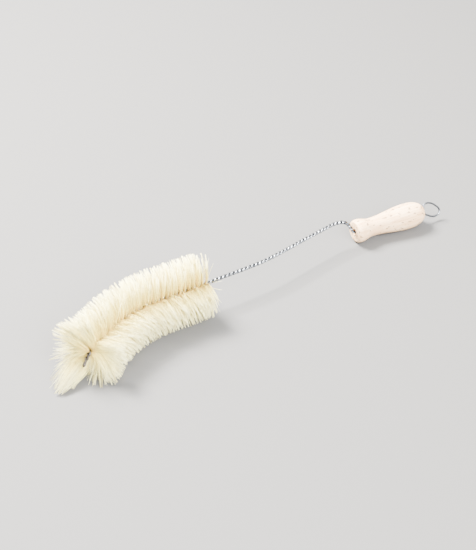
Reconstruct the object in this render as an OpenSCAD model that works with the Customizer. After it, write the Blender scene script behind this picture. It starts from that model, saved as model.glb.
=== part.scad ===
// Bottle brush: a turned wooden handle, a stem of one steel wire folded double and twisted,
// bristles held between its two legs, and a hanging ring of the same wire.
// It lies at rest on the flattened underside of its bristles and on the handle's thick end.
// Millimetres, +Z up, handle along X with the hanging ring towards +X.

/* [Handle] */
// Length of the wooden handle
handle_len = 82; // [60:1:120]
// Diameter at the thick end
handle_dia = 26.2; // [20:0.2:34]
// Diameter of the flare behind the front face
flare_dia = 23.6; // [18:0.2:32]
// Diameter of the waist
waist_dia = 18.4; // [13:0.2:24]
// Diameter of the flat front face
face_dia = 18.8; // [12:0.2:24]
// Distance from the front face to the flare's widest place
flare_at = 4.6; // [2:0.1:8]
// Distance from the front face to the waist
waist_at = 18.5; // [12:0.5:26]
// Length of the domed end, from the thickest place to the tip
dome_len = 21; // [14:0.5:30]

/* [Wire] */
// Thickness of the steel wire
wire_dia = 1.9; // [1.2:0.1:2.6]
// Length of stem for one full turn of the twist
twist_pitch = 9.3; // [7:0.1:14]
// Length of the legs pushed into the handle
wire_seat_len = 38; // [20:1:50]

/* [Stem] */
// Distance along X from the handle's face to the first bristles
stem_run = 180; // [120:1:240]
// Height of the stem where the bristles begin
core_height = 27.5; // [20:0.5:36]

/* [Head] */
// Distance along X from the first bristles to the last
head_run = 134; // [90:1:180]
// Diameter over the bristles
head_dia = 62; // [44:1:76]
// Sideways bow of the head towards its tip
head_bow = 40; // [0:1:60]

/* [Hanging ring] */
// Scale of the ring's outline
ring_scale = 1; // [0.7:0.05:1.4]
// Lean of the ring's plane above the horizontal, in degrees
ring_lean = 65; // [0:5:90]
// Length of the ring's legs inside the handle
ring_leg_len = 14; // [8:1:20]

/* [Hidden] */
$fn = 96;

// The part's own frame is at the middle of its box, on the ground.
place = [121.8, 43, 0];

// Clearances
leg_gap = 0.1;          // between the two twisted legs
bore_gap = 0.15;        // round the wire in its bore
mouth_gap = 1.4;        // round the wire in the bore's mouth
tunnel_gap = 0.3;       // between the bristles' solid and the wire

wire_r = wire_dia / 2;
twist_r = wire_r + leg_gap / 2;
twist_out_r = twist_r + wire_r;
axis_h = handle_dia / 2;

// Handle's profile
belly_at = handle_len - dome_len;
dome_power = 2.5;
mouth_depth = 6;
step_deg = 9;

function ease(t) = (1 - cos(180 * t)) / 2;
function blend(a, b, t) = a + (b - a) * t;

nose = [for (a = [0:15:75])
    [flare_at * (1 - cos(a)), blend(face_dia, flare_dia, sin(a)) / 2]];
neck = [for (t = [0:0.1:0.95])
    [blend(flare_at, waist_at, t), blend(flare_dia, waist_dia, ease(t)) / 2]];
swell = [for (t = [0:0.0625:0.99])
    [blend(waist_at, belly_at, t), blend(waist_dia, handle_dia, ease(t)) / 2]];
dome = [for (a = [0:step_deg:81])
    [blend(belly_at, handle_len, pow(sin(a), 2 / dome_power)),
     handle_dia / 2 * pow(cos(a), 2 / dome_power)]];

// Vector helpers
function unit(v) = v / norm(v);
function scaled(v, s) = [v[0] * s, v[1] * s];

// A smooth curve through points: Hermite spans whose slopes weigh each neighbour by its distance.
function slope(p, i) =
    i == 0 ? unit(p[1] - p[0])
    : i == len(p) - 1 ? unit(p[i] - p[i - 1])
    : let(a = norm(p[i] - p[i - 1]), b = norm(p[i + 1] - p[i]))
      ((p[i + 1] - p[i]) * a / b + (p[i] - p[i - 1]) * b / a) / (a + b);
function span(p, i, t) =
    let(d = norm(p[i + 1] - p[i]))
    (2 * t * t * t - 3 * t * t + 1) * p[i]
    + (t * t * t - 2 * t * t + t) * d * slope(p, i)
    + (3 * t * t - 2 * t * t * t) * p[i + 1]
    + (t * t * t - t * t) * d * slope(p, i + 1);
function smooth(p, n) = concat(
    [for (i = [0:len(p) - 2]) for (k = [0:n - 1]) span(p, i, k / n)],
    [p[len(p) - 1]]);

// Length along a curve at each of its points
function run_lengths(p) =
    [for (i = 0, s = 0; i < len(p); i = i + 1, s = i < len(p) ? s + norm(p[i] - p[i - 1]) : s) s];
function axis_table(p, s, k) = [for (i = [0:len(p) - 1]) [s[i], p[i][k]]];

// Route of the wire pair: seat in the handle, crank at its face, stem, head, bare tip.
crank = [
    [wire_seat_len, 0, axis_h],
    [12, 0, axis_h],
    [5, 0, axis_h - 0.2],
    [1.4, 0, axis_h - 0.6],
    [-0.6, 0.1, axis_h + 0.2],
    [-2.4, 0.4, axis_h + 2.7],
    [-4, 0.9, axis_h + 5.6],
    [-5.8, 1.6, axis_h + 8.5],
    [-8.2, 2.8, axis_h + 11],
    [-11.5, 4, axis_h + 12.7],
    [-17, 4.6, axis_h + 13.2],
];
stem_start = -17;
stem_marks = [
    [0.15, -0.2, -1],
    [0.3, -6.7, -0.9],
    [0.45, -13.7, -0.7],
    [0.6, -19.7, -0.5],
    [0.75, -23, -0.2],
    [0.9, -25.4, 0],
];
head_marks = [
    [0, -27.4, 0, 0],
    [0.15, -29.2, 0, 0],
    [0.3, -30.4, 0, 0],
    [0.45, -30.4, -0.05, 0],
    [0.6, -30.4, -0.17, -0.2],
    [0.75, -30.4, -0.39, -0.8],
    [0.88, -30.4, -0.66, -1.7],
    [1, -30.4, -0.94, -2.9],
];
tip_marks = [
    [-5.5, -4.8, -2.3],
    [-9.5, -8.8, -5.2],
];
stem_pts = [for (m = stem_marks)
    [blend(stem_start, -stem_run, m[0]), m[1], core_height + m[2]]];
head_pts = [for (m = head_marks)
    [-stem_run - head_run * m[0], m[1] + head_bow * m[2], core_height + m[3]]];
head_end = head_pts[len(head_pts) - 1];
tip_pts = [for (m = tip_marks) head_end + m];
route_pts = smooth(concat(crank, stem_pts, head_pts, tip_pts), 8);
route_s = run_lengths(route_pts);
route_x = axis_table(route_pts, route_s, 0);
route_y = axis_table(route_pts, route_s, 1);
route_z = axis_table(route_pts, route_s, 2);
route_len = route_s[len(route_s) - 1];
knot = len(crank) + len(stem_pts);
head_s = route_s[8 * knot];
last_s = route_s[8 * (knot + len(head_pts) - 1)];

function route(s) = [lookup(s, route_x), lookup(s, route_y), lookup(s, route_z)];
function heading(s) = unit(route(s + 0.6) - route(s - 0.6));
function side(s) = unit(cross(heading(s), [0, 0, 1]));
function upward(s) = cross(side(s), heading(s));

// The twist starts just inside the handle and ends where the wire folds back on itself.
twist_s = wire_seat_len - 9;
fold_len = 3.4;
fold_r = 1.3;
twist_end = route_len - fold_len - fold_r;
function angle_at(s) = 360 * (min(max(s, twist_s), twist_end) - twist_s) / twist_pitch;
function spread(s) =
    s < twist_end ? twist_r : blend(twist_r, fold_r, ease(min(1, (s - twist_end) / fold_len)));
function outward(s, half) =
    let(a = angle_at(s) + half) side(s) * cos(a) + upward(s) * sin(a);
function leg(s, half) = [route(s) + spread(s) * outward(s, half), outward(s, half)];

seat_rings = 3;
stem_rings = 224;
head_rings = 114;
tip_rings = 17;
fold_rings = 6;
leg_s = concat(
    [for (i = [0:seat_rings - 1]) twist_s * i / seat_rings],
    [for (i = [0:stem_rings - 1]) blend(twist_s, head_s, i / stem_rings)],
    [for (i = [0:head_rings - 1]) blend(head_s, last_s, i / head_rings)],
    [for (i = [0:tip_rings]) blend(last_s, route_len - fold_r, i / tip_rings)]);
fold_at = route_len - fold_r;
wire_line = concat(
    [for (s = leg_s) leg(s, 0)],
    [for (i = [1:fold_rings - 1])
        let(a = 180 * i / fold_rings,
            o = outward(fold_at, 0) * cos(a) + heading(fold_at) * sin(a))
        [route(fold_at) + fold_r * o, o]],
    [for (i = [len(leg_s) - 1:-1:0]) leg(leg_s[i], 180)]);

// A round wire swept along [centre, outward] pairs
module swept_wire(line, r, sides) {
    n = len(line);
    pts = [for (i = [0:n - 1])
        let(t = unit(line[min(n - 1, i + 1)][0] - line[max(0, i - 1)][0]),
            o = unit(line[i][1] - (line[i][1] * t) * t),
            w = cross(t, o))
        for (k = [0:sides - 1])
            line[i][0] + r * (cos(360 * k / sides) * o + sin(360 * k / sides) * w)];
    walls = [for (i = [0:n - 2]) for (k = [0:sides - 1])
        let(a = i * sides + k, b = i * sides + (k + 1) % sides)
        each [[a, a + sides, b + sides], [a, b + sides, b]]];
    first = [for (k = [0:sides - 1]) k];
    last = [for (k = [sides - 1:-1:0]) (n - 1) * sides + k];
    polyhedron(concat(pts), concat(walls, [first], [last]));
}

// Ring: [along X from the dome, across] in its own plane
ring_marks = [
    [-1.6, 1.05], [0.3, 1.1], [1.2, 2.1], [1.3, 3.6], [1.7, 5.1], [3.2, 6.4], [6.6, 6.9],
    [10.6, 5.8], [13.9, 3.8], [16.7, 1.2], [19, -1.5], [19.75, -4.4], [18.4, -6.9],
    [15.4, -8.4], [12.2, -8.7], [8.8, -7.7], [5.9, -6.1], [2.9, -4.3], [0.9, -1.9],
    [0, -1.1], [-1.6, -1.05],
];
ring_foot = 3;
ring_line2 = concat(
    [[-ring_leg_len, 1.05], [-ring_leg_len / 2, 1.05]],
    [for (i = [0:len(ring_marks) - 1])
        i < ring_foot || i >= len(ring_marks) - ring_foot
        ? ring_marks[i] : scaled(ring_marks[i], ring_scale)],
    [[-ring_leg_len / 2, -1.05], [-ring_leg_len, -1.05]]);
function in_ring(q) =
    [handle_len + q[0], q[1] * cos(ring_lean), axis_h + q[1] * sin(ring_lean)];
ring_normal = [0, -sin(ring_lean), cos(ring_lean)];
ring_path = smooth([for (q = ring_line2) in_ring(q)], 4);
ring_line = [for (p = ring_path) [p, ring_normal]];
ring_bore_r = 1.05 + wire_r + bore_gap;

// Bristles' solid: rings round the wire, flattened where they lie on the ground. The last
// bristles lean forward round the bare tip, so that end is a funnel, deepest where they splay
// along the ground.
head_r = head_dia / 2;
brush_sides = 28;
brush_rings = 26;
start_drop = 3;
flare = 3;              // extra reach of the last bristles
flare_rings = 4;
rim_lean = 7;           // forward lean of the rim
rim_splay = 27;         // extra lean where the rim splays
rim_tuck = 11;          // reach lost to that lean
rim_wall = 5;
splay_angle = -57;
tunnel_r = twist_out_r + tunnel_gap;

function reach(i) = head_r + flare * max(0, i - brush_rings + flare_rings) / flare_rings;
function splay(k) = pow(max(0, cos(360 * k / brush_sides - splay_angle)), 3);
function brush_s(i) = blend(head_s, last_s, i / brush_rings);
function ring_at(i, r, shift, k) =
    let(s = brush_s(i), a = 360 * k / brush_sides)
    route(s) + r * (cos(a) * side(s) + sin(a) * upward(s)) + shift * heading(s);
function grounded(p) = [p[0], p[1], max(0, p[2])];
function ring_of(i, r, shift) =
    [for (k = [0:brush_sides - 1]) grounded(ring_at(i, r, shift, k))];
function rim_of(wall, back) =
    [for (k = [0:brush_sides - 1])
        let(g = splay(k))
        grounded(ring_at(brush_rings, head_r + flare - rim_tuck * g - wall,
            rim_lean + rim_splay * g - back, k))];
brush_loop = concat(
    [ring_of(0, head_r - 3 * start_drop, -1), ring_of(0, head_r - start_drop, 0)],
    [for (i = [1:brush_rings]) ring_of(i, reach(i), 0)],
    [rim_of(0, 0), rim_of(rim_wall, 1)],
    [for (i = [brush_rings:-1:0]) ring_of(i, tunnel_r, 0)]);

module handle() {
    color("BurlyWood")
    translate([0, 0, axis_h])
    rotate([0, 90, 0])
    difference() {
        rotate_extrude()
        polygon(concat([[0, 0]],
            [for (q = concat(nose, neck, swell, dome)) [q[1], q[0]]],
            [[0, handle_len]]));
        translate([0, 0, -1])
        cylinder(h = wire_seat_len + 2, r = twist_out_r + bore_gap);
        translate([0, 0, -1])
        cylinder(h = mouth_depth + 1, r = twist_out_r + mouth_gap);
        translate([0, 0, handle_len - ring_leg_len - 1])
        cylinder(h = ring_leg_len + 2, r = ring_bore_r);
    }
}

module twisted_wire() {
    color("Silver")
    swept_wire(wire_line, wire_r, 8);
}

module hanging_ring() {
    color("Silver")
    swept_wire(ring_line, wire_r, 12);
}

module bristles() {
    n = len(brush_loop);
    pts = [for (ring = brush_loop) each ring];
    walls = [for (i = [0:n - 1]) for (k = [0:brush_sides - 1])
        let(k2 = (k + 1) % brush_sides,
            a = i * brush_sides + k,
            b = i * brush_sides + k2,
            c = (i + 1) % n * brush_sides + k2,
            d = (i + 1) % n * brush_sides + k)
        each [[a, c, b], [a, d, c]]];
    color("Cornsilk")
    polyhedron(pts, walls);
}

translate(place) handle();
translate(place) twisted_wire();
translate(place) bristles();
translate(place) hanging_ring();
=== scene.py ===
import math

import bpy
import numpy as np
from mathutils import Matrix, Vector


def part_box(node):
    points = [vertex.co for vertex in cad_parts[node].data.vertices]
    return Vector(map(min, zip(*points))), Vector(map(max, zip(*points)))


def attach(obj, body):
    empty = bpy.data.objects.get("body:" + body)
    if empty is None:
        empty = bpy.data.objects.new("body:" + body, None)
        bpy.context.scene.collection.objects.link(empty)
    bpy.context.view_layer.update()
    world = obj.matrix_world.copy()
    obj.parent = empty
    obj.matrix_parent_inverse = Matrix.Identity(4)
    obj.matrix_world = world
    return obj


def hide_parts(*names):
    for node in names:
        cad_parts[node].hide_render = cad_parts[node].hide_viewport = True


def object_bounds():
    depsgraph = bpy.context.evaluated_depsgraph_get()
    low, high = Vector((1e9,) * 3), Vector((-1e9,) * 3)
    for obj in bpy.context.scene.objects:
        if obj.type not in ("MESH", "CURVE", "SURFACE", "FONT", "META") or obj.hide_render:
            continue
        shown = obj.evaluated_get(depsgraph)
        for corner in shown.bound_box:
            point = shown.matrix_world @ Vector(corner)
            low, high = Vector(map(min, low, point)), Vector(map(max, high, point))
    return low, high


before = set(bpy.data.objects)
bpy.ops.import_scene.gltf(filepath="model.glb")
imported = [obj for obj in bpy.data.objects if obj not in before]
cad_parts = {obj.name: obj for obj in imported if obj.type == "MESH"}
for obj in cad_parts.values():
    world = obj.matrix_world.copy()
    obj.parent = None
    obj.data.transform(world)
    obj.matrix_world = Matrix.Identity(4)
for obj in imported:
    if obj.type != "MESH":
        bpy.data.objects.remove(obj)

cad_low, cad_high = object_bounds()
MM = 0.001

# ---------------------------------------------------------------- the wire's route, as in part.scad
handle_low, handle_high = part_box("handle")
FACE_X = handle_low.x / MM
AXIS_Y = (handle_low.y + handle_high.y) / 2 / MM
AXIS_Z = (handle_low.z + handle_high.z) / 2 / MM
PITCH = 9.3
WIRE_SEAT, STEM_RUN, CORE_HEIGHT = 38, 180, 27.5
HEAD_RUN, HEAD_BOW, HEAD_R = 134, 40, 31
TWIST_START = WIRE_SEAT - 9

CRANK = [
    (WIRE_SEAT, 0, 0), (12, 0, 0), (5, 0, -0.2), (1.4, 0, -0.6), (-0.6, 0.1, 0.2),
    (-2.4, 0.4, 2.7), (-4, 0.9, 5.6), (-5.8, 1.6, 8.5), (-8.2, 2.8, 11), (-11.5, 4, 12.7),
    (-17, 4.6, 13.2),
]
STEM = [
    (0.15, -0.2, -1), (0.3, -6.7, -0.9), (0.45, -13.7, -0.7), (0.6, -19.7, -0.5),
    (0.75, -23, -0.2), (0.9, -25.4, 0),
]
HEAD = [
    (0, -27.4, 0, 0), (0.15, -29.2, 0, 0), (0.3, -30.4, 0, 0), (0.45, -30.4, -0.05, 0),
    (0.6, -30.4, -0.17, -0.2), (0.75, -30.4, -0.39, -0.8), (0.88, -30.4, -0.66, -1.7),
    (1, -30.4, -0.94, -2.9),
]
TIP = [(-5.5, -4.8, -2.3), (-9.5, -8.8, -5.2)]


def smooth_route():
    pts = [(x, y, AXIS_Z + z) for x, y, z in CRANK]
    pts += [(-17 + (17 - STEM_RUN) * u, y, CORE_HEIGHT + z) for u, y, z in STEM]
    first = len(pts)
    pts += [(-STEM_RUN - HEAD_RUN * v, y + HEAD_BOW * b, CORE_HEIGHT + z) for v, y, b, z in HEAD]
    last = len(pts) - 1
    end = pts[last]
    pts += [tuple(end[k] + t[k] for k in range(3)) for t in TIP]
    p = np.array(pts, float) + (FACE_X, AXIS_Y, 0)
    seg = np.linalg.norm(np.diff(p, axis=0), axis=1)
    m = np.zeros_like(p)
    m[0] = (p[1] - p[0]) / seg[0]
    m[-1] = (p[-1] - p[-2]) / seg[-1]
    for i in range(1, len(p) - 1):
        a, b = seg[i - 1], seg[i]
        m[i] = ((p[i + 1] - p[i]) * a / b + (p[i] - p[i - 1]) * b / a) / (a + b)
    out = []
    for i in range(len(p) - 1):
        for k in range(8):
            t = k / 8
            out.append((2 * t**3 - 3 * t**2 + 1) * p[i] + (t**3 - 2 * t**2 + t) * seg[i] * m[i]
                       + (3 * t**2 - 2 * t**3) * p[i + 1] + (t**3 - t**2) * seg[i] * m[i + 1])
    out.append(p[-1])
    out = np.array(out)
    s = np.concatenate([[0], np.cumsum(np.linalg.norm(np.diff(out, axis=0), axis=1))])
    return out, s, s[8 * first], s[8 * last]


ROUTE, ROUTE_S, HEAD_S, LAST_S = smooth_route()
HEAD_END_X = FACE_X - STEM_RUN - HEAD_RUN


def route(s):
    return np.stack([np.interp(s, ROUTE_S, ROUTE[:, k]) for k in range(3)], -1)


def unit(v):
    return v / np.maximum(np.linalg.norm(v, axis=-1, keepdims=True), 1e-9)


def axes_at(s):
    heading = unit(route(s + 0.6) - route(s - 0.6))
    side = unit(np.cross(heading, (0, 0, 1)))
    return heading, side, np.cross(side, heading)


def level_axes_at(s):
    """The same axes with the heading laid level, so up is straight up."""
    heading = axes_at(s)[0] * (1, 1, 0)
    heading = unit(heading)
    side = np.cross(heading, (0, 0, 1))
    return heading, side, np.tile((0.0, 0.0, 1.0), (len(s), 1))


def radial(side, up, angle):
    a = np.radians(angle)[:, None]
    return np.cos(a) * side + np.sin(a) * up


# ---------------------------------------------------------------- bristles
# They part along the side that faces this way, where the head was stroked flat in use.
PARTING = unit(np.array([-0.38, -0.72, 0.58]))
# Steps across the hairs' map, each with its own tint.
STRIPS = 64
# The splayed end, by the way a hair points round the wire: angle, way forward, reach (mm).
SPLAY = np.array([
    (-180, -1, 33), (-155, 0, 33.5), (-140, 8, 34), (-126, 15, 31), (-112, 17, 25), (-95, 21, 23.5),
    (-80, 33, 22.5), (-68, 39, 23), (-56, 37, 26), (-44, 31, 29), (-28, 21, 35), (-14, 13, 34),
    (-4, 6, 29), (10, 4, 32), (24, 5, 34), (34, 8, 36.5), (60, 7, 35.5), (90, 5, 34.5),
    (135, 2, 34), (180, -1, 33),
], float)
# Where the splayed end's hairs gather into bunches: angle, half width, pull.
BUNCHES = [(-64, 42, 0.74), (-144, 32, 0.6), (34, 30, 0.4)]
# Where most of them are short: from angle, to angle, share.
THIN = [(-37, 14, 0.86), (-116, -84, 0.85)]
# The splayed end begins this far before the last turn and is fully open over this run (mm).
SPLAY_BACK, SPLAY_RUN = 14, 11
# The hairs over the stem lean into the head by this much, fading along this run (mm).
START_LEAN, START_RUN = 6, 24
# Where neighbouring turns lean together on top: the way it points and how wide it is (degrees).
TOP_ANGLE, TOP_WIDTH = 85, 38
# Share of hairs that cross the parting, that are cut short, and that stand out.
CROSS_SHARE, SHORT_SHARE, LONG_SHARE = 0.12, 0.3, 0.01
# No hair is longer than this times the reach it was trimmed to.
LONGEST = 1.035
HAIR_RADIUS = 0.145  # mm


def wrap(a):
    return (a + 180) % 360 - 180


def parted(side, up, angle, gap):
    """The angles moved away from the parting, which is left gap degrees open on each side."""
    to = np.degrees(np.arctan2((up * PARTING).sum(1), (side * PARTING).sum(1)))
    d = wrap(angle - to)
    way = np.where(d >= 0, 1, -1)
    return to + way * (gap + np.abs(d) * (180 - gap) / 180)


def gathered(tip_angle, root_angle, end):
    """Both angles of the splayed end's hairs, drawn towards the middle of their bunch."""
    for at, wide, k in BUNCHES:
        d = wrap(tip_angle - at)
        shift = d * k * end * np.clip((wide - np.abs(d)) / (0.25 * wide), 0, 1)
        tip_angle, root_angle = tip_angle - shift, root_angle - shift
    return wrap(tip_angle), root_angle


def turn_stretch(s, angle, reach):
    """How far the turns of hair spread at their ends, as against along the wire."""
    low, high = (radial(*level_axes_at(s + d)[1:], angle) * reach[:, None] + route(s + d)
                 for d in (-1, 1))
    return np.clip(np.linalg.norm(high - low, axis=1) / 2, 0.8, 3)


def nearest(points, leaders, step=2000):
    """For each point the index of its nearest leader."""
    near = np.empty(len(points), int)
    for i in range(0, len(points), step):
        part = points[i:i + step]
        near[i:i + step] = ((part[:, None, :] - leaders[None]) ** 2).sum(2).argmin(1)
    return near


def hairs(n, s_low, s_high, seed, spread=15, gap=38, tuft=8, pull=0.8, drift=1.15):
    """Root, control point and tip of n hairs whose roots lie along the wire from s_low to s_high.

    spread: how far a hair strays from its turn of the twist, in degrees; gap: the parting's half
    width in degrees; tuft: hairs in a tuft; pull: how much they close up; drift: in mm.
    """
    r = np.random.default_rng(seed)
    s = r.uniform(s_low, s_high, n)
    heading, side, up = level_axes_at(s)
    half = r.integers(0, 2, n)
    blade = 360 * (s - TWIST_START) / PITCH + 90 + 180 * half
    root_angle = blade + r.normal(0, spread * 0.5, n)
    angle = blade + r.normal(0, spread, n)
    crossing = np.where(r.random(n) < CROSS_SHARE, r.uniform(8, gap, n), gap)
    tip_angle = wrap(parted(side, up, angle, crossing + r.normal(0, 7, n)))
    # 0 along the head, rising to 1 in the splayed end.
    end = np.clip((s + r.normal(0, 1.3, n) - (LAST_S - SPLAY_BACK)) / SPLAY_RUN, 0, 1)
    tip_angle, root_angle = gathered(tip_angle, root_angle, end)
    forward = end * np.interp(tip_angle, SPLAY[:, 0], SPLAY[:, 1])
    reach = HEAD_R + end * (np.interp(tip_angle, SPLAY[:, 0], SPLAY[:, 2]) - HEAD_R)
    for low, high, share in THIN:
        short = (tip_angle > low) & (tip_angle < high) & (r.random(n) < share * end)
        by = np.where(short, r.uniform(0.4, 0.68, n), 1)
        reach, forward = reach * by, forward * by
    # On the upper side two neighbouring turns of hair lean together.
    top = np.exp(-(wrap(tip_angle - TOP_ANGLE) / TOP_WIDTH) ** 2)
    forward += (0.3 + 0.8 * top) * np.where(half == 0, 1, -1)
    # Round the outside of the bend the hairs spread as far as the turns do.
    stretch = turn_stretch(s, tip_angle, reach)
    forward += r.normal(0, drift, n) * stretch * (1 - 0.5 * top) * (1 - 0.35 * end)
    # The first ones at the front lean into the head.
    front = np.maximum(0, -np.cos(np.radians(tip_angle)))
    forward += START_LEAN * front * np.clip(1 - (s - HEAD_S) / START_RUN, 0, 1)
    root = route(s) + heading * r.normal(0, 0.25, n)[:, None]
    out = radial(side, up, tip_angle)
    tip = root + out * reach[:, None] + heading * forward[:, None]
    # Tufts: each hair leans to the nearest of its leaders.
    chosen = r.choice(n, n // tuft, replace=False)
    loose = (0.5 + 2.2 * end[chosen])[:, None] * r.random((len(chosen), 1))
    lead = tip[chosen] + unit(r.normal(0, 1, (len(chosen), 3))) * loose
    near = nearest(tip, lead)
    k = np.clip(r.normal(pull, 0.12, n), 0, 0.97)[:, None]
    tip = tip + (lead[near] - tip) * k
    # Trimmed back to the same reach, with a few short and a few long ones.
    axis = ((tip - root) * heading).sum(1, keepdims=True) * heading
    over = tip - root - axis
    cut = r.normal(1, 0.028, len(lead))[near] + r.normal(0, 0.012, n)
    cut *= np.where(r.random(n) < SHORT_SHARE, r.uniform(0.74, 0.98, n), 1)
    cut *= np.where(r.random(n) < LONG_SHARE, r.uniform(1.01, 1.03, n), 1)
    cut += end * (r.normal(-0.04, 0.08, len(lead))[near] + r.normal(-0.01, 0.05, n))
    cut = np.minimum(cut, LONGEST)
    tip = root + axis * cut[:, None] + unit(over) * (reach * cut)[:, None]
    # A hair leaves the wire the way its turn points and bends over to its tip.
    start_way = radial(side, up, root_angle)
    far = np.linalg.norm(tip - root, axis=1, keepdims=True)
    bend = r.normal(0, 0.5, (len(lead), 3))[near]
    control = root + start_way * far * r.uniform(0.36, 0.46, n)[:, None] + bend
    control += r.normal(0, 0.25, (n, 3)) + bend * 3 * end[:, None]
    # A tuft shares one tint, apart from a few odd hairs.
    odd = np.where(r.random(n) < 0.3, r.integers(0, STRIPS, n), 0)
    return root, control, tip, (near * 7 + odd) % STRIPS


def strays(n, s_low, s_high, angle_low, angle_high, back, seed):
    """A few loose hairs that lean back (or forward) by up to back mm from the others."""
    r = np.random.default_rng(seed)
    s = r.uniform(s_low, s_high, n)
    heading, side, up = level_axes_at(s)
    angle = r.uniform(angle_low, angle_high, n)
    out = radial(side, up, angle)
    root = route(s)
    lean = r.uniform(0.3, 1, n)[:, None] * back
    reach = HEAD_R * r.uniform(0.75, 1.0, n)[:, None]
    tip = root + out * reach - heading * lean
    control = root + out * reach * 0.5 - heading * lean * r.uniform(0.1, 0.6, n)[:, None]
    return root, control + r.normal(0, 1, (n, 3)), tip, r.integers(0, STRIPS, n)


def hair_mesh(name, root, control, tip, strip, seed, width=HAIR_RADIUS, steps=(0, 0.22, 0.48, 0.75, 1)):
    """Three-sided tapered hairs along quadratic curves, each with its own strip of the map."""
    r = np.random.default_rng(seed)
    n, m = len(root), len(steps)
    t = np.array(steps)[None, :, None]
    line = (1 - t) ** 2 * root[:, None] + 2 * t * (1 - t) * control[:, None] + t**2 * tip[:, None]
    # Kept off the floor and just above the CAD box at most.
    lift = 0.15 + 0.9 * r.random((n, 1))
    line[..., 2] = np.clip(line[..., 2], lift, cad_high.z / MM + 2 - lift)
    way = unit(np.gradient(line, axis=1))
    across = unit(np.cross(way, unit(r.normal(0, 1, (n, 1, 3)))))
    over = np.cross(way, across)
    thick = np.clip(r.normal(width, width * 0.16, (n, 1, 1)), width * 0.6, width * 1.5)
    thick = thick * (1 - 0.3 * np.array(steps)[None, :, None])
    rings = []
    for k in range(3):
        a = 2 * math.pi * k / 3
        rings.append(line + thick * (math.cos(a) * across + math.sin(a) * over))
    co = np.stack(rings, 2)                       # hair, step, corner, xyz
    base = np.arange(n)[:, None, None] * (m * 3)
    j = np.arange(m - 1)[None, :, None] * 3
    k = np.arange(3)[None, None, :]
    k2 = (k + 1) % 3
    quads = np.stack([base + j + k, base + j + k2, base + j + 3 + k2, base + j + 3 + k], -1)
    quads = quads.reshape(n, -1, 4)
    caps = (np.arange(n)[:, None] * (m * 3) + (m - 1) * 3 + np.arange(3)[None]).reshape(n, 1, 3)
    loops = np.concatenate([quads.reshape(n, -1), caps.reshape(n, -1)], 1).ravel()
    sizes = np.tile([4] * (3 * (m - 1)) + [3], n)
    starts = np.concatenate([[0], np.cumsum(sizes)[:-1]])
    me = bpy.data.meshes.new(name)
    me.vertices.add(n * m * 3)
    me.vertices.foreach_set("co", (co.reshape(-1) * MM).astype(np.float32))
    me.loops.add(len(loops))
    me.loops.foreach_set("vertex_index", loops.astype(np.int32))
    me.polygons.add(len(sizes))
    me.polygons.foreach_set("loop_start", starts.astype(np.int32))
    me.update(calc_edges=True)
    # Map: across is the hair's strip, along is the way from root to tip.
    v = np.array(steps)
    u0, u1 = (strip + 0.12) / STRIPS, (strip + 0.88) / STRIPS
    uq = np.stack([u0, u1, u1, u0], 1)[:, None, None, :].repeat(m - 1, 1).repeat(3, 2)
    vq = np.stack([v[:-1], v[:-1], v[1:], v[1:]], 1)[None, :, None, :].repeat(n, 0).repeat(3, 2)
    quad_uv = np.stack([uq, vq], -1).reshape(n, -1, 2)
    cap_uv = np.stack([np.stack([u0, u1, (u0 + u1) / 2], 1), np.tile([0.99, 0.99, 1.0], (n, 1))], -1)
    uv = np.concatenate([quad_uv, cap_uv], 1).reshape(-1, 2)
    layer = me.uv_layers.new(name="OFBake")
    layer.uv.foreach_set("vector", np.clip(uv, 0.002, 0.998).astype(np.float32).ravel())
    me.polygons.foreach_set("use_smooth", np.ones(len(sizes), bool))
    me.validate()
    ob = bpy.data.objects.new(name, me)
    bpy.context.scene.collection.objects.link(ob)
    return ob


# ---------------------------------------------------------------- materials
def node_tree(name):
    mat = bpy.data.materials.new(name)
    mat.use_nodes = True
    nt = mat.node_tree
    nt.nodes.clear()
    out = nt.nodes.new("ShaderNodeOutputMaterial")
    bsdf = nt.nodes.new("ShaderNodeBsdfPrincipled")
    nt.links.new(bsdf.outputs[0], out.inputs[0])
    return mat, nt, bsdf


def ramp(nt, fac, stops):
    r = nt.nodes.new("ShaderNodeValToRGB")
    while len(r.color_ramp.elements) < len(stops):
        r.color_ramp.elements.new(0.5)
    for e, (pos, col) in zip(r.color_ramp.elements, stops):
        e.position = pos
        e.color = (*col, 1)
    nt.links.new(fac, r.inputs[0])
    return r.outputs[0]


def mix(nt, kind, fac, a, b):
    m = nt.nodes.new("ShaderNodeMix")
    m.data_type = "RGBA"
    m.blend_type = kind
    for socket, value in ((m.inputs[0], fac), (m.inputs[6], a), (m.inputs[7], b)):
        if isinstance(value, bpy.types.NodeSocket):
            nt.links.new(value, socket)
        else:
            socket.default_value = value
    return m.outputs[2]


def math_node(nt, op, a, b=None):
    m = nt.nodes.new("ShaderNodeMath")
    m.operation = op
    for socket, value in zip(m.inputs, (a, b)):
        if value is None:
            continue
        if isinstance(value, bpy.types.NodeSocket):
            nt.links.new(value, socket)
        else:
            socket.default_value = value
    return m.outputs[0]


def noise(nt, vector, scale, detail=2, rough=0.5):
    n = nt.nodes.new("ShaderNodeTexNoise")
    n.inputs["Scale"].default_value = scale
    n.inputs["Detail"].default_value = detail
    n.inputs["Roughness"].default_value = rough
    nt.links.new(vector, n.inputs["Vector"])
    return n.outputs[0]


def mapping(nt, vector, scale):
    m = nt.nodes.new("ShaderNodeMapping")
    m.inputs["Scale"].default_value = scale
    nt.links.new(vector, m.inputs["Vector"])
    return m.outputs[0]


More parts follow.
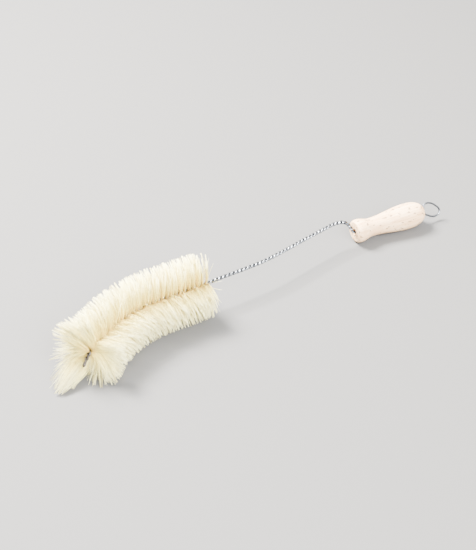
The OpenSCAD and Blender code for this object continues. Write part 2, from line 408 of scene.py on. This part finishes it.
def bristle_material():
    mat, nt, bsdf = node_tree("bristle_fibre")
    uv = nt.nodes.new("ShaderNodeUVMap")
    uv.uv_map = "OFBake"
    sep = nt.nodes.new("ShaderNodeSeparateXYZ")
    nt.links.new(uv.outputs[0], sep.inputs[0])
    # Along the hair: the fibre's own cream, yellower towards the root and paler at the tip; the dark
    # brown at the very root is painted shade among the roots.
    along = ramp(nt, sep.outputs[1], [
        (0.0, (0.22, 0.12, 0.02)), (0.09, (0.62, 0.41, 0.08)), (0.22, (0.93, 0.72, 0.20)),
        (0.45, (0.98, 0.83, 0.24)), (0.75, (0.985, 0.90, 0.37)), (1.0, (0.99, 0.935, 0.54)),
    ])
    cell = math_node(nt, "FLOOR", math_node(nt, "MULTIPLY", sep.outputs[0], STRIPS))
    white = nt.nodes.new("ShaderNodeTexWhiteNoise")
    white.noise_dimensions = "1D"
    nt.links.new(cell, white.inputs["W"])
    tint = ramp(nt, white.outputs[0], [
        (0.0, (0.50, 0.44, 0.31)), (0.22, (0.84, 0.79, 0.66)), (0.5, (1, 1, 1)), (1.0, (1, 0.99, 0.95)),
    ])
    colour = mix(nt, "MULTIPLY", 1.0, along, tint)
    nt.links.new(colour, bsdf.inputs["Base Color"])
    bsdf.inputs["Roughness"].default_value = 0.5
    bsdf.inputs["Specular IOR Level"].default_value = 0.35
    return mat


def wood_material():
    mat, nt, bsdf = node_tree("handle_wood")
    tc = nt.nodes.new("ShaderNodeTexCoord")
    pos = tc.outputs["Object"]
    grain = noise(nt, mapping(nt, pos, (14, 420, 420)), 1, 4, 0.6)
    rings = noise(nt, mapping(nt, pos, (6, 90, 90)), 1, 2)
    base = ramp(nt, grain, [
        (0.3, (0.59, 0.33, 0.16)), (0.5, (0.80, 0.52, 0.285)), (0.7, (0.88, 0.64, 0.40)),
    ])
    wide = ramp(nt, rings, [(0.3, (0.94, 0.90, 0.84)), (0.7, (1, 1, 1))])
    col = mix(nt, "MULTIPLY", 0.8, base, wide)
    spots = noise(nt, mapping(nt, pos, (190, 420, 420)), 1, 1)
    fleck = ramp(nt, spots, [(0.63, (1, 1, 1)), (0.67, (0.22, 0.20, 0.18))])
    col = mix(nt, "MULTIPLY", 0.85, col, fleck)
    nt.links.new(col, bsdf.inputs["Base Color"])
    rough = ramp(nt, grain, [(0.3, (0.62,) * 3), (0.7, (0.5,) * 3)])
    nt.links.new(rough, bsdf.inputs["Roughness"])
    bump = nt.nodes.new("ShaderNodeBump")
    bump.inputs["Strength"].default_value = 0.12
    bump.inputs["Distance"].default_value = 0.0003
    nt.links.new(grain, bump.inputs["Height"])
    nt.links.new(bump.outputs[0], bsdf.inputs["Normal"])
    return mat


def steel_material():
    mat, nt, bsdf = node_tree("wire_steel")
    tc = nt.nodes.new("ShaderNodeTexCoord")
    pos = tc.outputs["Object"]
    mottle = noise(nt, mapping(nt, pos, (300, 300, 300)), 1, 3)
    col = ramp(nt, mottle, [(0.3, (0.09, 0.095, 0.104)), (0.7, (0.20, 0.208, 0.222))])
    # Painted shade: the bare tip is painted darker, as shade from the hairs close round it.
    along = nt.nodes.new("ShaderNodeSeparateXYZ")
    nt.links.new(pos, along.inputs[0])
    tip_shade_fade = nt.nodes.new("ShaderNodeMapRange")
    tip_shade_fade.inputs["From Min"].default_value = (HEAD_END_X - 2) * MM
    tip_shade_fade.inputs["From Max"].default_value = (HEAD_END_X + 6) * MM
    nt.links.new(along.outputs[0], tip_shade_fade.inputs[0])
    col = mix(nt, "MIX", tip_shade_fade.outputs[0], (0.07, 0.06, 0.05, 1), col)
    # Painted shade: darker in the grooves between the two legs, where the occlusion node finds them
    # hollow.
    groove_occlusion = nt.nodes.new("ShaderNodeAmbientOcclusion")
    groove_occlusion.samples = 8
    groove_occlusion.only_local = True
    groove_occlusion.inputs["Distance"].default_value = 0.0015
    painted_groove_shade = ramp(nt, groove_occlusion.outputs["AO"], [(0.45, (0.08, 0.08, 0.085)), (0.85, (1, 1, 1))])
    col = mix(nt, "MULTIPLY", 1.0, col, painted_groove_shade)
    nt.links.new(col, bsdf.inputs["Base Color"])
    bsdf.inputs["Metallic"].default_value = 1.0
    rough = ramp(nt, mottle, [(0.3, (0.36,) * 3), (0.7, (0.26,) * 3)])
    nt.links.new(rough, bsdf.inputs["Roughness"])
    bevel = nt.nodes.new("ShaderNodeBevel")
    bevel.samples = 4
    bevel.inputs["Radius"].default_value = 0.0003
    nt.links.new(bevel.outputs[0], bsdf.inputs["Normal"])
    return mat


def plain_material(name, colour, roughness):
    mat, nt, bsdf = node_tree(name)
    bsdf.inputs["Base Color"].default_value = (*colour, 1)
    bsdf.inputs["Roughness"].default_value = roughness
    return mat


WOOD, STEEL, FIBRE = wood_material(), steel_material(), bristle_material()


def dress(node, mat):
    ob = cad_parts[node]
    ob.data.materials.clear()
    ob.data.materials.append(mat)


dress("handle", WOOD)
dress("twisted_wire", STEEL)
dress("hanging_ring", STEEL)

# ---------------------------------------------------------------- build the head
# Whole head, more in the splayed end, and strays: two places over the stem and one at the tip.
PARTS = 4
groups = [
    hairs(15500, HEAD_S + 1, LAST_S, 1),
    hairs(2300, LAST_S - 8, LAST_S, 5),
    strays(5, HEAD_S + 0.5, HEAD_S + 3, 80, 170, 6, 2),
    strays(14, HEAD_S + 0.5, HEAD_S + 5, 160, 290, 4, 3),
    strays(40, LAST_S - 6, LAST_S, -50, 15, -20, 4),
]
root, control, tip, strip = (np.concatenate([g[k] for g in groups]) for k in range(4))
order = np.argsort(((root - route(np.array([HEAD_S]))) ** 2).sum(1))
for i, pick in enumerate(np.array_split(order, PARTS)):
    ob = hair_mesh(f"bristles_{i + 1}", root[pick], control[pick], tip[pick], strip[pick], 100 + i)
    ob.data.materials.append(FIBRE)
    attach(ob, "root")
    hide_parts("bristles")

# ---------------------------------------------------------------- floor, light, camera
floor_mesh = bpy.data.meshes.new("floor")
FLOOR = 12.0
corners = [(-FLOOR, -FLOOR, 0), (FLOOR, -FLOOR, 0), (FLOOR, FLOOR, 0), (-FLOOR, FLOOR, 0)]
floor_mesh.from_pydata(corners, [], [(0, 1, 2, 3)])
floor = bpy.data.objects.new("floor", floor_mesh)
floor.data.materials.append(plain_material("floor", (0.088, 0.085, 0.081), 0.8))
bpy.context.scene.collection.objects.link(floor)

# Soft studio: bright overhead, dim towards the horizon.
world = bpy.data.worlds.new("world")
world.use_nodes = True
nt = world.node_tree
sky = nt.nodes.new("ShaderNodeTexCoord")
split = nt.nodes.new("ShaderNodeSeparateXYZ")
nt.links.new(sky.outputs["Generated"], split.inputs[0])
dome = ramp(nt, split.outputs[2], [
    (0.0, (0.12, 0.12, 0.125)), (0.3, (0.55, 0.55, 0.565)), (0.8, (1.1, 1.1, 1.1)),
])
nt.links.new(dome, nt.nodes["Background"].inputs[0])
nt.nodes["Background"].inputs[1].default_value = 3.4
bpy.context.scene.world = world

VIEW_YAW = math.radians(-27.88)
VIEW_PITCH = math.radians(35.5)
# The camera's place from the middle of the handle's front face, its height, and its lens.
CAMERA_X, CAMERA_Y, CAMERA_Z = -0.6291, -0.9398, 0.7625
SENSOR_MM, LENS_MM = 36, 88.3636


def from_camera(right, away, up):
    """A place given as seen by the camera: to its right, away from it, and up, in metres."""
    c, s = math.cos(VIEW_YAW), math.sin(VIEW_YAW)
    return Vector((right * c - away * s, right * s + away * c, up))


def area_light(name, place, target, size, watts, colour):
    data = bpy.data.lights.new(name, "AREA")
    data.shape = "SQUARE"
    data.size = size
    data.energy = watts
    data.color = colour
    ob = bpy.data.objects.new(name, data)
    ob.location = place
    ob.rotation_euler = (target - place).to_track_quat("-Z", "Y").to_euler()
    bpy.context.scene.collection.objects.link(ob)


middle = (cad_low + cad_high) / 2
area_light("key", from_camera(-0.9, 0.7, 1.5), middle, 0.7, 570, (1, 0.98, 0.95))
area_light("fill", from_camera(0.7, -1.4, 1.3), middle, 1.2, 280, (0.96, 0.98, 1))

cam_data = bpy.data.cameras.new("camera")
cam_data.sensor_width = SENSOR_MM
cam_data.lens = LENS_MM
cam_data.clip_end = 100
cam = bpy.data.objects.new("camera", cam_data)
cam.location = (handle_low.x + CAMERA_X, AXIS_Y * MM + CAMERA_Y, CAMERA_Z)
cam.rotation_euler = (math.pi / 2 - VIEW_PITCH, 0, VIEW_YAW)
bpy.context.scene.collection.objects.link(cam)
bpy.context.scene.camera = cam
